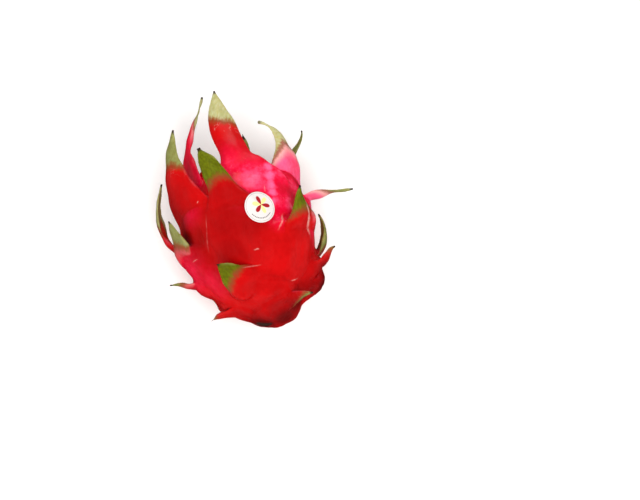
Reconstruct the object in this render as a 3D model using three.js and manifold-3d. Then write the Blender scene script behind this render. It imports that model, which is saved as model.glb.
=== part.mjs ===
// A whole red dragon fruit (pitaya) lying on its side, with a round paper label on its skin.
// Millimetres and degrees. The fruit's axis runs along +Y from the stem end to the crown, +Z is up,
// and the origin is the middle of the small flat spot on the belly that the fruit lies on.
//
// A place on the fruit is given by three numbers: around (the turn about the axis, 0 on top, positive
// towards +X), up (the distance along the axis from the widest part, towards the crown) and out (the
// distance from the axis).
import * as THREE from 'three';
import { mergeVertices } from 'three/addons/utils/BufferGeometryUtils.js';
import Module from 'manifold-3d';

const wasm = await Module();
wasm.setup();

// ---- driving dimensions ----

const body = {
  axisHeight: 44.5,          // of the fruit's axis over the surface it lies on
  girth: 43,                 // radius at the widest part, without the swellings under the scales
  stemReach: 52,             // from the widest part to the stem end
  crownReach: 49,            // and to the crown
  stemPower: 1.9,            // roundness of the profile: 2 is an ellipse, more is boxier
  crownPower: 2.8,
  pitWidth: 11, pitDepth: 9,     // navel where the flower sat
  stubWidth: 18, stubLength: 6.5,    // blunt end where it was cut from the stalk
  stemShift: 6.5,            // how far the stem end bends towards +X
  sides: 48, rings: 34,
};
const cushion = {            // the swelling of the skin below a scale
  droop: 6,                  // how much lower its upper edge starts at its sides
  edge: 5,                   // length of the slope at its upper edge
  narrowest: 14,             // distance from the axis below which it no longer narrows
};
const leaf = {
  edgeShare: 0.45,           // thickness at the edges, as a share of the middle's
  footRadius: 46,            // how the foot is curved round the fruit
  sunk: 0.7,                 // depth of the foot in the skin
  edgesSunk: 0.8,            // and how much deeper its edges are
  claspMiddle: 0.1,          // how far up the middle of the foot stays in the skin
  footEnd: 0.1,              // share of its thickness that the foot ends with
  columns: 4,
  rowLength: 8, fewestRows: 5,   // rows from foot to tip: one every 8 mm or so
};
const ground = { side: 400, depth: 60 };   // block that cuts the flat spot
const label = {
  around: 15.5, up: 11.5,    // its middle
  radius: 10.25, thickness: 0.5,
  gap: 0.3,                  // between its back and the skin
  rings: 5, sides: 24, smoothing: 12,
};
const skinColour = '#d40a18';
const labelColour = '#f3ece6';

// ---- the scales ----
// root          around and up of the middle of the axil, where the scale leaves the skin
// tip           around, up and out of its tip
// foot, width   half width where it grows from the skin, and of the leaf above
// leave, end    the directions it starts and ends in, each a sideways lean and a tilt outwards
// panel, swell  length and height of the swelling of the skin below it
// The rest of its form is usual, where it doesn't say otherwise.

const usual = {
  foot: 13, width: 5, leave: [0, 40], end: [0, 80], panel: 26, swell: 4.5,
  spread: 1.2, slope: 1.1,   // half width of the swelling against the foot's, softness of its sides
  run: 10,                   // how far below the axil the foot starts
  drop: 12, slant: 0,        // how much lower the foot's edges start, and the right one more
  footShare: 0.34, flare: 2.2,   // where along the scale the foot narrows, and how sharply
  leafShare: 0.8, point: 2.2,    // where the leaf narrows to its tip, and how suddenly
  stiff: 0.4, hook: 0.32,    // how long it keeps the direction it starts in and the one it ends in
  cup: 0.5,                  // how much it is curled across
  clasp: 0.24,               // how far up its edges stay in the skin, beyond its middle
  rootThickness: 6.5, tipThickness: 1.4,
  blunt: 0.5,                // half width of the dry tip
};
const short = { run: 6, drop: 6, swell: 3.5, panel: 20 };

const crownScales = [
  { root: [10, 40], tip: [-4, 99, 28], foot: 33, width: 9.8, leave: [-4, 6], end: [6, -8], panel: 34,
    drop: 14, slant: 0.2, footShare: 0.25, flare: 3.9, leafShare: 0.7, point: 3.3, stiff: 0.37,
    hook: 0.35, cup: 0.6 },
  { root: [64, 42], tip: [31, 69, 44], foot: 22, width: 4, leave: [8, 22], end: [-76, -8], panel: 36,
    footShare: 0.38, flare: 2.6, hook: 0.4, cup: 0.8 },
  { root: [124, 45], tip: [113, 76, 56], foot: 16, width: 8, leave: [0, 26], end: [0, 0] },
  { root: [175, 44], tip: [159, 84, 30.5], foot: 18, width: 8, leave: [0, 8], end: [0, -6] },
  { root: [-136, 42], tip: [-136, 60, 18], foot: 20, width: 9, leave: [0, 8], end: [0, -10], panel: 34 },
  { root: [-76, 45], tip: [-88, 106, 11], foot: 28, width: 7, leave: [18, 35], end: [-5, -21], run: 6,
    footShare: 0.28, flare: 3.5, leafShare: 0.68, stiff: 0.55, hook: 0.28, rootThickness: 5 },
];
const topScales = [
  { root: [-7.7, 21.5], tip: [-18, 54, 60], foot: 21.4, width: 9, leave: [-9.5, 9], end: [-4, 41],
    panel: 46, spread: 1.05, slope: 0.6, slant: 0.95, footShare: 0.27, flare: 2.9, leafShare: 0.9,
    point: 3.3, cup: 0.7, blunt: 1.5 },
  { root: [-50, 28], tip: [-41, 75, 50], foot: 22, width: 9.6, leave: [-12, 24], end: [26, -6], panel: 30,
    leafShare: 0.7, point: 2.4, hook: 0.4, cup: 0.7 },
  { root: [50, 4], tip: [41, 20, 61], foot: 25, width: 7.5, leave: [-4, 24], end: [-4, 30], panel: 42,
    point: 2, cup: 0.7 },
  { root: [-10, -30], tip: [-23, -21, 58], foot: 21, width: 9.2, leave: [-43, 15], end: [-35, 39], run: 8,
    drop: 5.5, slant: 0.8, footShare: 0.36, point: 2.8, stiff: 0.43, cup: 0.6, clasp: 0.65 },
  { root: [-66, 1], tip: [-57.5, 18, 56], foot: 18, width: 8, leave: [-4, 24], end: [5, 20], cup: 0.7 },
  { root: [33, -40], tip: [47, -46.5, 40.5], ...short, foot: 8, width: 3.6, leave: [54, 20],
    end: [100, 35], panel: 16, swell: 4.5, cup: 0.6 },
];
const sideScales = [
  { root: [94, 24], tip: [98, 25, 78], foot: 16, width: 4.5, leave: [0, 72], end: [0, 88], run: 4,
    stiff: 0.3, hook: 0.4, rootThickness: 5 },
  { root: [102, -11], tip: [104, 13, 52], foot: 14, width: 6, leave: [0, 20], end: [0, -26], panel: 20 },
  { root: [82, -18], tip: [84, -15, 56], ...short, foot: 12, panel: 28, swell: 7, cup: 0.8 },
  { root: [84, -32], tip: [86, -17, 43], foot: 9, width: 6, leave: [0, 20], end: [0, 20], panel: 14,
    swell: 9, spread: 1.7, run: 4, drop: 3, cup: 0.9, clasp: 0.4 },
  { root: [-97, 10], tip: [-104, 55, 51.5], foot: 16, width: 7, leave: [0, 46], end: [0, -26],
    rootThickness: 5 },
  { root: [-95, -17], tip: [-98, -16, 58], ...short, rootThickness: 5 },
  { root: [-86, -39], tip: [-98, -46, 40], ...short, end: [-10, 110], panel: 14, rootThickness: 5 },
];

// The scales of the side it lies on: shorter towards the stem end, and pressed flat underneath.
const undersideRoots = [
  [148, 26], [-152, 22], [-178, 8], [124, 4], [-130, 10], [150, -15], [-150, -15],
  [120, -34], [160, -39], [-166, -37], [-124, -34],
];
function undersideScale([around, up]) {
  const grown = (up + 45) / 90;
  const free = 12 + 32 * grown ** 1.3;
  const under = cosine(180 - Math.abs(around)) ** 4;
  const tilt = (30 - 38 * under) * (1 - 0.8 * grown);
  const reach = profile(shareAtHeight(up)).out + 3 + free * sine(tilt);
  const room = (body.axisHeight - 1) / Math.max(0.2, -cosine(around));
  return {
    root: [around, up], tip: [around, up + free * cosine(tilt), Math.min(reach, room)],
    foot: 15 + 5 * grown, width: 6 + 3 * grown,
    leave: [0, 20 - 14 * under], end: [0, 30 * (1 - under) * (1 - grown)],
    panel: 22 + 12 * grown, swell: 3.5 + grown, run: 6 + 4 * grown, drop: 6 + 6 * grown,
  };
}

// Six small dry scales round the navel, every second one longer.
const navelCount = 6;
function navelScale(index) {
  const long = index % 2 === 0;
  const around = -170 + index * 360 / navelCount + (long ? -6 : 14);
  return {
    root: [around, 46.5], tip: [around, long ? 57 : 54, long ? 7 : 11], foot: 9, width: 4,
    leave: [0, 60], end: [0, -50], panel: 6, swell: 0.5, run: 2, drop: 1, rootThickness: 3,
  };
}

// ---- small helpers ----

const sine = (angle) => Math.sin(THREE.MathUtils.degToRad(angle));
const cosine = (angle) => Math.cos(THREE.MathUtils.degToRad(angle));
const tangent = (angle) => Math.tan(THREE.MathUtils.degToRad(angle));
const smooth = (x) => THREE.MathUtils.smoothstep(x, 0, 1);
const mix = THREE.MathUtils.lerp;
const vector = (x, y, z) => new THREE.Vector3(x, y, z);
const shortTurn = (angle) => THREE.MathUtils.euclideanModulo(angle + 180, 360) - 180;

// ---- the body ----

// The profile's height and radius. share runs from 0 at the stem end to 1 at the crown.
function profile(share) {
  const along = -Math.cos(share * Math.PI);
  const across = Math.sin(share * Math.PI);
  const crown = along >= 0;
  const power = crown ? body.crownPower : body.stemPower;
  const size = (Math.abs(along) ** power + Math.abs(across) ** power) ** (-1 / power);
  const out = across * size * body.girth;
  const up = along * size * (crown ? body.crownReach : body.stemReach);
  const pit = crown ? body.pitDepth * Math.exp(-((out / body.pitWidth) ** 2)) : 0;
  const stub = crown ? 0 : body.stubLength * Math.exp(-((out / body.stubWidth) ** 6));
  return { up: up - pit - stub, out };
}

// The share whose ray from the fruit's middle goes through a place.
function shareTowards(up, out) {
  const reach = up < 0 ? body.stemReach : body.crownReach;
  return Math.atan2(out / body.girth, -up / reach) / Math.PI;
}

function shareAtHeight(up) {
  const [reach, power] = up < 0 ? [body.stemReach, body.stemPower] : [body.crownReach, body.crownPower];
  const out = (1 - Math.abs(up / reach) ** power) ** (1 / power);
  return shareTowards(up, out * body.girth);
}

// The skin swells below each scale like a cushion, up to the line of its axil.
function swelling(around, share) {
  const { up, out } = profile(share);
  let total = 0;
  for (const scale of scales) {
    const below = scale.root[1] - up;
    const turn = THREE.MathUtils.degToRad(shortTurn(around - scale.root[0]));
    const sideways = turn * Math.max(out, cushion.narrowest);
    const x = (sideways + tangent(scale.leave[0]) * below) / (scale.foot * scale.spread);
    const depth = below - cushion.droop * x * x;
    const rise = 1 - smooth(depth / scale.panel * 0.95 - 0.1);
    const axil = smooth(depth / cushion.edge + 0.5);
    total += (scale.swell * rise * axil * Math.max(0, 1 - x * x) ** scale.slope) ** 4;
  }
  return total ** 0.25;
}

function skin(around, share) {
  const step = 0.001;
  const here = profile(share);
  const above = profile(share + step);
  const below = profile(share - step);
  const normal = new THREE.Vector2(below.out - above.out, above.up - below.up).normalize();
  const swell = swelling(around, share);
  return { up: here.up + swell * normal.x, out: Math.max(0, here.out + swell * normal.y) };
}

const stemBend = (up) => body.stemShift * Math.max(0, -up / body.stemReach) ** 2;

function place(around, up, out) {
  return vector(out * sine(around) + stemBend(up), up, body.axisHeight + out * cosine(around));
}

function locate(point) {
  const x = point.x - stemBend(point.y);
  const z = point.z - body.axisHeight;
  return { around: THREE.MathUtils.radToDeg(Math.atan2(x, z)), up: point.y, out: Math.hypot(x, z) };
}

// ---- one scale ----

// The middle line: a cubic curve from the skin below the axil to the tip.
function spineOf(scale) {
  const [rootAround, rootUp] = scale.root;
  const [lean, lift] = scale.leave;
  const [sway, curl] = scale.end;
  const start = shareAtHeight(rootUp - scale.run);
  const around = rootAround - THREE.MathUtils.radToDeg(tangent(lean * 0.8) * scale.run / body.girth);
  const foot = skin(around, start);
  const radial = vector(sine(around), 0, cosine(around));
  const sideways = vector(cosine(around), 0, -sine(around));
  const axis = vector(0, 1, 0);
  const above = profile(start + 0.002);
  const below = profile(start - 0.002);
  const upwards = axis.clone().multiplyScalar(above.up - below.up)
    .addScaledVector(radial, above.out - below.out).normalize();
  const outwards = sideways.clone().cross(upwards);
  const leave = upwards.multiplyScalar(cosine(lean)).addScaledVector(sideways, sine(lean))
    .multiplyScalar(cosine(lift)).addScaledVector(outwards, sine(lift));
  const tipRadial = vector(sine(scale.tip[0]), 0, cosine(scale.tip[0]));
  const tipSideways = vector(cosine(scale.tip[0]), 0, -sine(scale.tip[0]));
  const arrive = axis.clone().multiplyScalar(cosine(sway)).addScaledVector(tipSideways, sine(sway))
    .multiplyScalar(cosine(curl)).addScaledVector(tipRadial, sine(curl));
  const from = place(around, foot.up, foot.out).addScaledVector(outwards, -1);
  const to = place(...scale.tip);
  const length = from.distanceTo(to);
  return new THREE.CubicBezierCurve3(
    from, from.clone().addScaledVector(leave, length * scale.stiff),
    to.clone().addScaledVector(arrive, -length * scale.hook), to);
}

// The way across the scale: round the fruit, turned with the lean that the scale starts in.
function acrossOf(scale) {
  const middle = scale.root[0] + shortTurn(scale.tip[0] - scale.root[0]) / 2;
  const lean = scale.leave[0];
  return vector(cosine(middle) * cosine(lean), -sine(lean), -sine(middle) * cosine(lean));
}

function halfWidth(scale, along) {
  const foot = Math.exp(-((along / scale.footShare) ** scale.flare));
  const toTip = Math.min(1, (1 - along) / scale.leafShare);
  const width = scale.width * (1 - (1 - toTip) ** scale.point);
  return Math.max(scale.blunt, mix(width, scale.foot, foot));
}

function thicknessAt(scale, along, across) {
  const middle = mix(scale.tipThickness, scale.rootThickness, (1 - along) ** 2.2);
  return middle * (1 - (1 - leaf.edgeShare) * Math.abs(across) ** 2.4);
}

// A point of the scale's middle surface: along 0 at the foot and 1 at the tip, across -1 to 1.
function middlePoint(scale, spine, sideways, along, across) {
  const forward = spine.getTangent(along);
  const side = sideways.clone().addScaledVector(forward, -sideways.dot(forward)).normalize();
  const face = side.clone().cross(forward);
  const width = halfWidth(scale, along);
  const curl = mix(width / leaf.footRadius, scale.cup, smooth(along / 0.5));
  const edgeDrop = scale.drop * (1 + scale.slant * across) * across ** 2;
  const free = spine.getPoint(along)
    .addScaledVector(side, width * Math.sin(curl * across) / curl)
    .addScaledVector(face, -width * (1 - Math.cos(curl * across)) / curl)
    .addScaledVector(forward, -edgeDrop * Math.exp(-((along / 0.3) ** 1.6)));
  // The foot lies in the skin, its edges for longer than its middle.
  const hug = 1 - smooth(along / (leaf.claspMiddle + scale.clasp * across ** 2));
  const at = locate(free);
  const under = skin(at.around, shareTowards(at.up, at.out));
  const buried = leaf.sunk * (1 - smooth(along / 0.25)) + leaf.edgesSunk * across ** 2;
  const sink = 1 - buried / Math.hypot(under.up, under.out);
  return place(at.around, mix(at.up, under.up * sink, hug), mix(at.out, under.out * sink, hug));
}

// Two faces to each side of the middle surface, closed round the rim. In the foot all the thickness
// is on the inner side, and its end is thin, so that the scale comes out of the skin without a step.
function scaleGeometry(scale) {
  const { columns } = leaf;
  const spine = spineOf(scale);
  const rows = Math.max(leaf.fewestRows, Math.round(spine.getLength() / leaf.rowLength));
  const sideways = acrossOf(scale);
  const at = (row, column) =>
    middlePoint(scale, spine, sideways, row / rows, 2 * column / columns - 1);
  const middle = grid(rows + 1, columns + 1, at);
  const faces = [[], []];
  for (let row = 0; row <= rows; row += 1) {
    for (let column = 0; column <= columns; column += 1) {
      const normal = gridNormal(middle, row, column, rows, columns);
      const along = row / rows;
      const thickness = thicknessAt(scale, along, 2 * column / columns - 1)
        * mix(leaf.footEnd, 1, smooth(along / 0.2));
      const outer = thickness * smooth(along / 0.4) / 2;
      faces[0].push(middle[row][column].clone().addScaledVector(normal, outer));
      faces[1].push(middle[row][column].clone().addScaledVector(normal, outer - thickness));
    }
  }
  const points = [...faces[0], ...faces[1]];
  const back = faces[0].length;
  const number = (row, column) => row * (columns + 1) + column;
  const triangles = [];
  const quad = (a, b, c, d) => triangles.push(a, b, c, a, c, d);
  for (let row = 0; row < rows; row += 1) {
    for (let column = 0; column < columns; column += 1) {
      const [a, b] = [number(row, column), number(row, column + 1)];
      const [c, d] = [number(row + 1, column + 1), number(row + 1, column)];
      quad(a, b, c, d);
      triangles.push(back + a, back + c, back + b, back + a, back + d, back + c);
    }
    const [left, leftNext] = [number(row, 0), number(row + 1, 0)];
    const [right, rightNext] = [number(row, columns), number(row + 1, columns)];
    quad(left, leftNext, back + leftNext, back + left);
    quad(rightNext, right, back + right, back + rightNext);
  }
  for (let column = 0; column < columns; column += 1) {
    const [foot, footNext] = [number(0, column), number(0, column + 1)];
    const [tip, tipNext] = [number(rows, column), number(rows, column + 1)];
    quad(footNext, foot, back + foot, back + footNext);
    quad(tip, tipNext, back + tipNext, back + tip);
  }
  return meshGeometry(points, triangles);
}

function grid(rows, columns, at) {
  return Array.from({ length: rows }, (_, row) =>
    Array.from({ length: columns }, (__, column) => at(row, column)));
}

function gridNormal(points, row, column, rows, columns) {
  const upper = points[Math.min(row + 1, rows)][column];
  const lower = points[Math.max(row - 1, 0)][column];
  const right = points[row][Math.min(column + 1, columns)];
  const left = points[row][Math.max(column - 1, 0)];
  return right.clone().sub(left).cross(upper.clone().sub(lower)).normalize();
}

function meshGeometry(points, triangles) {
  const geometry = new THREE.BufferGeometry().setFromPoints(points);
  geometry.setIndex(triangles);
  return geometry;
}

// ---- the fruit: body and scales grown together, flat where it rests ----

function bodyGeometry() {
  const { sides, rings } = body;
  const points = [place(0, profile(0).up, 0)];
  for (let ring = 1; ring < rings; ring += 1) {
    for (let side = 0; side < sides; side += 1) {
      const around = side * 360 / sides;
      const { up, out } = skin(around, ring / rings);
      points.push(place(around, up, out));
    }
  }
  points.push(place(0, profile(1).up, 0));
  const last = points.length - 1;
  const number = (ring, side) => 1 + (ring - 1) * sides + side % sides;
  const triangles = [];
  for (let side = 0; side < sides; side += 1) {
    triangles.push(0, number(1, side + 1), number(1, side));
    for (let ring = 1; ring < rings - 1; ring += 1) {
      const [a, b] = [number(ring, side), number(ring, side + 1)];
      const [c, d] = [number(ring + 1, side + 1), number(ring + 1, side)];
      triangles.push(a, b, c, a, c, d);
    }
    triangles.push(last, number(rings - 1, side), number(rings - 1, side + 1));
  }
  return meshGeometry(points, triangles);
}

function solidFrom(geometry) {
  const merged = mergeVertices(geometry, 1e-3);
  return new wasm.Manifold(new wasm.Mesh({
    numProp: 3,
    vertProperties: merged.attributes.position.array,
    triVerts: new Uint32Array(merged.index.array),
  }));
}

function geometryFrom(solid) {
  const { vertProperties, triVerts } = solid.getMesh();
  const geometry = new THREE.BufferGeometry();
  geometry.setAttribute('position', new THREE.BufferAttribute(vertProperties, 3));
  geometry.setIndex(new THREE.BufferAttribute(triVerts, 1));
  geometry.computeVertexNormals();
  return geometry;
}

function fruitGeometry() {
  let fruit = solidFrom(bodyGeometry());
  for (const scale of scales) fruit = fruit.add(solidFrom(scaleGeometry(scale)));
  const { side, depth } = ground;
  const block = new THREE.BoxGeometry(side, side, depth).translate(0, 0, -depth / 2);
  block.deleteAttribute('normal');
  block.deleteAttribute('uv');
  return geometryFrom(fruit.subtract(solidFrom(block)));
}

// ---- the label: a round of paper that lies on the skin ----

function labelGeometry(fruit) {
  const { around, up, radius, thickness, gap, rings, sides, smoothing } = label;
  const tilt = new THREE.Quaternion().setFromUnitVectors(vector(0, 0, 1),
    vector(sine(around), 0, cosine(around)));
  const outwards = vector(0, 0, 1).applyQuaternion(tilt);
  const spot = place(around, up, 0);
  const far = 100;
  const ray = new THREE.Raycaster();
  const spots = [[0, 0]];
  for (let ring = 1; ring <= rings; ring += 1) {
    for (let side = 0; side < sides; side += 1) spots.push([ring / rings * radius, side * 360 / sides]);
  }
  const flat = spots.map(([from, angle]) =>
    vector(from * cosine(angle), from * sine(angle), 0).applyQuaternion(tilt).add(spot));
  const lowest = flat.map((point) => {
    ray.set(point.clone().addScaledVector(outwards, far), outwards.clone().negate());
    return far - ray.intersectObject(fruit)[0].distance + gap;
  });
  // The paper spans small dips: each height moves to its neighbours' mean, but never into the skin.
  const number = (ring, side) => (ring === 0 ? 0 : 1 + (ring - 1) * sides + (side + sides) % sides);
  const heights = [...lowest];
  for (let pass = 0; pass < smoothing; pass += 1) {
    for (let ring = 1; ring <= rings; ring += 1) {
      for (let side = 0; side < sides; side += 1) {
        const near = [number(ring, side - 1), number(ring, side + 1), number(ring - 1, side)];
        if (ring < rings) near.push(number(ring + 1, side));
        const mean = near.reduce((sum, index) => sum + heights[index], 0) / near.length;
        heights[number(ring, side)] = Math.max(mean, lowest[number(ring, side)]);
      }
    }
  }
  const back = flat.map((point, index) => point.clone().addScaledVector(outwards, heights[index]));
  const front = back.map((point) => point.clone().addScaledVector(outwards, thickness));
  const triangles = [];
  const above = back.length;
  for (let side = 0; side < sides; side += 1) {
    for (let ring = 0; ring < rings; ring += 1) {
      const [a, b] = [number(ring, side), number(ring, side + 1)];
      const [c, d] = [number(ring + 1, side + 1), number(ring + 1, side)];
      triangles.push(a, c, d, above + a, above + d, above + c);
      if (ring > 0) triangles.push(a, b, c, above + a, above + c, above + b);
    }
    const [edge, next] = [number(rings, side), number(rings, side + 1)];
    triangles.push(edge, next, above + next, edge, above + next, above + edge);
  }
  return meshGeometry([...back, ...front], triangles);
}

// ---- the two pieces ----

const scales = [
  ...crownScales, ...topScales, ...sideScales,
  ...undersideRoots.map(undersideScale),
  ...Array.from({ length: navelCount }, (_, index) => navelScale(index)),
].map((scale) => ({ ...usual, ...scale }));

const fruit = new THREE.Mesh(fruitGeometry(),
  new THREE.MeshStandardMaterial({ color: skinColour, roughness: 0.4, metalness: 0 }));
fruit.name = 'fruit';
fruit.updateMatrixWorld(true);

const sticker = new THREE.Mesh(labelGeometry(fruit),
  new THREE.MeshStandardMaterial({ color: labelColour, roughness: 0.5, metalness: 0 }));
sticker.name = 'label';

const group = new THREE.Group();
group.add(fruit, sticker);
export default group;
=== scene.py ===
# A whole red dragon fruit lying on its side with a round paper label on its skin, on a plain pale floor.
# The frame is in metres. The fruit's own lengths are given in millimetres and its turns in degrees.
import bmesh
import bpy
import numpy as np
from mathutils import Matrix, Vector


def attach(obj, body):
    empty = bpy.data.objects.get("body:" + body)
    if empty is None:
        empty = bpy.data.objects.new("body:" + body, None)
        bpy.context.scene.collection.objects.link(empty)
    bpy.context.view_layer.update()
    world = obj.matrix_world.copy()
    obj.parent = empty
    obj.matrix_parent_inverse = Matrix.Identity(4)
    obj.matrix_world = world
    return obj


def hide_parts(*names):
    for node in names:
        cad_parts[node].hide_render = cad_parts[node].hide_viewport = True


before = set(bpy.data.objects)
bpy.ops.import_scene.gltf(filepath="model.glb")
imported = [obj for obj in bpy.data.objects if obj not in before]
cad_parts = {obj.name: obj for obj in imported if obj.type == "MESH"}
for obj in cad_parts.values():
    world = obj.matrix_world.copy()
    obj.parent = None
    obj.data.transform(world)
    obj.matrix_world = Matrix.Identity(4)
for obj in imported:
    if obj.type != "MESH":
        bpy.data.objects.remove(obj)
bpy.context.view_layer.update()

mm = 0.001
deg = np.pi / 180
fruitAxis = np.array([0.0, 1.0, 0.0])  # from the stem end to the crown

# settings that many nodes share
smoothStep = {"interpolation_type": "SMOOTHSTEP"}
colourMix = {"data_type": "RGBA"}
minus, sizeOnly = {"operation": "SUBTRACT"}, {"operation": "ABSOLUTE"}
times, timesPlus = {"operation": "MULTIPLY"}, {"operation": "MULTIPLY_ADD"}
clampedTimes = {"operation": "MULTIPLY", "use_clamp": True}


def smooth(x):  # an S-shaped step from 0 to 1
    x = np.clip(x, 0, 1)
    return x * x * (3 - 2 * x)


def mix(a, b, share):
    return a + (b - a) * share


def unit(vectors):
    return vectors / np.linalg.norm(vectors, axis=-1, keepdims=True)


def shortTurn(angle):  # the same turn, between -180 and 180
    return (angle + 180) % 360 - 180


def linearColour(hexColour):  # an sRGB hex colour as the linear values that a shader socket takes
    channels = np.array([int(hexColour[i:i + 2], 16) for i in (1, 3, 5)]) / 255
    linear = np.where(channels <= 0.04045, channels / 12.92, ((channels + 0.055) / 1.055) ** 2.4)
    return (*linear.tolist(), 1.0)


def coloursOf(look):
    return {name: linearColour(value) for name, value in look.items() if isinstance(value, str)}


def addNode(tree, kind, settings=None, inputs=None, output=0):
    # Adds a node with its settings and links, and gives an output. An input is a value or an output.
    node = tree.nodes.new("ShaderNode" + kind)
    for name, value in (settings or {}).items():
        setattr(node, name, value)
    for name, value in (inputs or {}).items():
        if isinstance(value, bpy.types.NodeSocket):
            tree.links.new(value, node.inputs[name])
        else:
            node.inputs[name].default_value = value
    return node.outputs[output] if node.outputs else node


def emptyMaterial(name):  # a new material, its node tree, and the object coordinates for its patterns
    material = bpy.data.materials.new(name)
    material.use_nodes = True
    tree = material.node_tree
    tree.nodes.clear()
    return material, tree, addNode(tree, "TexCoord", output=3)


def addSurface(tree, relief, strength, height, shaderInputs):  # the shader with its bump, height in metres
    bump = addNode(tree, "Bump", {}, {"Strength": strength, "Distance": height, "Height": relief})
    shader = addNode(tree, "BsdfPrincipled", {}, {**shaderInputs, "Normal": bump})
    addNode(tree, "OutputMaterial", {}, {"Surface": shader})


def addObject(name, mesh):
    thing = bpy.data.objects.new(name, mesh)
    bpy.context.scene.collection.objects.link(thing)
    return thing


# The fruit's body. A place on the fruit is around (the turn about its axis, 0 on top, positive towards
# +X), up (along the axis from the widest part, towards the crown) and out (from the axis).

fruitBody = {
    "axisHeight": 44.5,  # of the fruit's axis over the floor
    "girth": 43,  # radius at the widest part, without the swellings under the scales
    "stemReach": 52, "crownReach": 49,  # from the widest part to the two ends
    "stemPower": 1.9, "crownPower": 2.8,  # roundness of the profile: 2 is an ellipse, more is boxier
    "pitWidth": 11, "pitDepth": 9,  # navel where the flower sat
    "stubWidth": 18, "stubLength": 6.5, "stubPower": 6,  # blunt end where it was cut from the stalk
    "stemShift": 6.5,  # how far the stem end bends towards +X
    # the cushions, which are the swellings of the skin below the scales
    "cushionRadius": 14,  # of the body: where it is thinner, the cushions get no narrower
    "cushionBow": 6,  # how much lower their tops lie at their sides
    "cushionTop": 0.1, "cushionFall": 0.95,  # share of them that stays high, how fast the rest falls
    "axilWidth": 5,  # of the step down at the axil
    "cushionPower": 4,  # that they are added in: the higher it is, the more the higher cushion wins
    "softness": 0.35,  # how softly the skin takes up the scales' feet, from 0 to 1
    "sides": 320, "rings": 260,
}


def profile(share):
    # Height and radius of the body's outline, a superellipse with a pit at the crown and a stub at the
    # stem. share runs from 0 at the stem end to 1 at the crown.
    b = fruitBody
    along, across = -np.cos(share * np.pi), np.sin(share * np.pi)
    crown = along >= 0
    power = np.where(crown, b["crownPower"], b["stemPower"])
    size = (np.abs(along) ** power + np.abs(across) ** power) ** (-1 / power)
    out = across * size * b["girth"]
    up = along * size * np.where(crown, b["crownReach"], b["stemReach"])
    pit = np.where(crown, b["pitDepth"] * np.exp(-(out / b["pitWidth"]) ** 2), 0)
    stub = np.where(crown, 0, b["stubLength"] * np.exp(-(out / b["stubWidth"]) ** b["stubPower"]))
    return up - pit - stub, out


def shareTowards(up, out):  # the share whose ray from the fruit's middle goes through a place
    reach = np.where(up < 0, fruitBody["stemReach"], fruitBody["crownReach"])
    return np.arctan2(out / fruitBody["girth"], -up / reach) / np.pi


def shareAtHeight(up):
    b = fruitBody
    reach, power = (b["stemReach"], b["stemPower"]) if up < 0 else (b["crownReach"], b["crownPower"])
    return shareTowards(up, b["girth"] * (1 - abs(up / reach) ** power) ** (1 / power))


def swelling(around, share):
    # The skin swells below each scale like a cushion, up to the line of its axil. The cushions are added
    # as high powers, so that the higher one wins where two meet.
    form = fruitBody
    up, out = profile(share)
    total = 0
    for scale in scales:
        below = scale["root"][1] - up
        sideways = shortTurn(around - scale["root"][0]) * deg * np.maximum(out, form["cushionRadius"])
        x = (sideways + np.tan(scale["leave"][0] * deg) * below) / (scale["foot"] * scale["spread"])
        depth = below - form["cushionBow"] * x * x
        rise = 1 - smooth(depth / scale["panel"] * form["cushionFall"] - form["cushionTop"])
        axil = smooth(depth / form["axilWidth"] + 0.5)
        sides = np.maximum(0, 1 - x * x) ** scale["slope"]
        total = total + (scale["swell"] * rise * axil * sides) ** form["cushionPower"]
    return total ** (1 / form["cushionPower"])


def skin(around, share):  # the body's profile, moved out along its normal by the swelling
    step = 0.001
    up, out = profile(share)
    upAbove, outAbove = profile(share + step)
    upBelow, outBelow = profile(share - step)
    normal = unit(np.stack([outBelow - outAbove, upAbove - upBelow], -1))
    swell = swelling(around, share)
    return up + swell * normal[..., 0], np.maximum(0, out + swell * normal[..., 1])


def stemBend(up):
    return fruitBody["stemShift"] * np.maximum(0, -up / fruitBody["stemReach"]) ** 2


def place(around, up, out):
    x = out * np.sin(around * deg) + stemBend(up)
    z = fruitBody["axisHeight"] + out * np.cos(around * deg)
    return np.stack(np.broadcast_arrays(x, up, z), -1)


def locate(points):
    x = points[..., 0] - stemBend(points[..., 1])
    z = points[..., 2] - fruitBody["axisHeight"]
    return np.arctan2(x, z) / deg, points[..., 1], np.hypot(x, z)


def directionsAt(around):  # outwards from the axis, and sideways round it
    turn = around * deg
    return np.array([np.sin(turn), 0, np.cos(turn)]), np.array([np.cos(turn), 0, -np.sin(turn)])


# What each scale is given by:
# root          around and up of the middle of the axil, where the scale leaves the skin
# tip           around, up and out of its tip
# foot, width   half width where it grows from the skin, and of the leaf above
# leave, end    the directions it starts and ends in, each a sideways lean and a tilt outwards
# panel, swell  length and height of the swelling of the skin below it
# green, arch   share of its length where the middle turns green, and how much lower the edges do
# greenLean     how much lower it turns green on its right
# pale          how much of the green has dried to straw
# The rest is as in usualScale, where a scale doesn't say otherwise.

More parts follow.
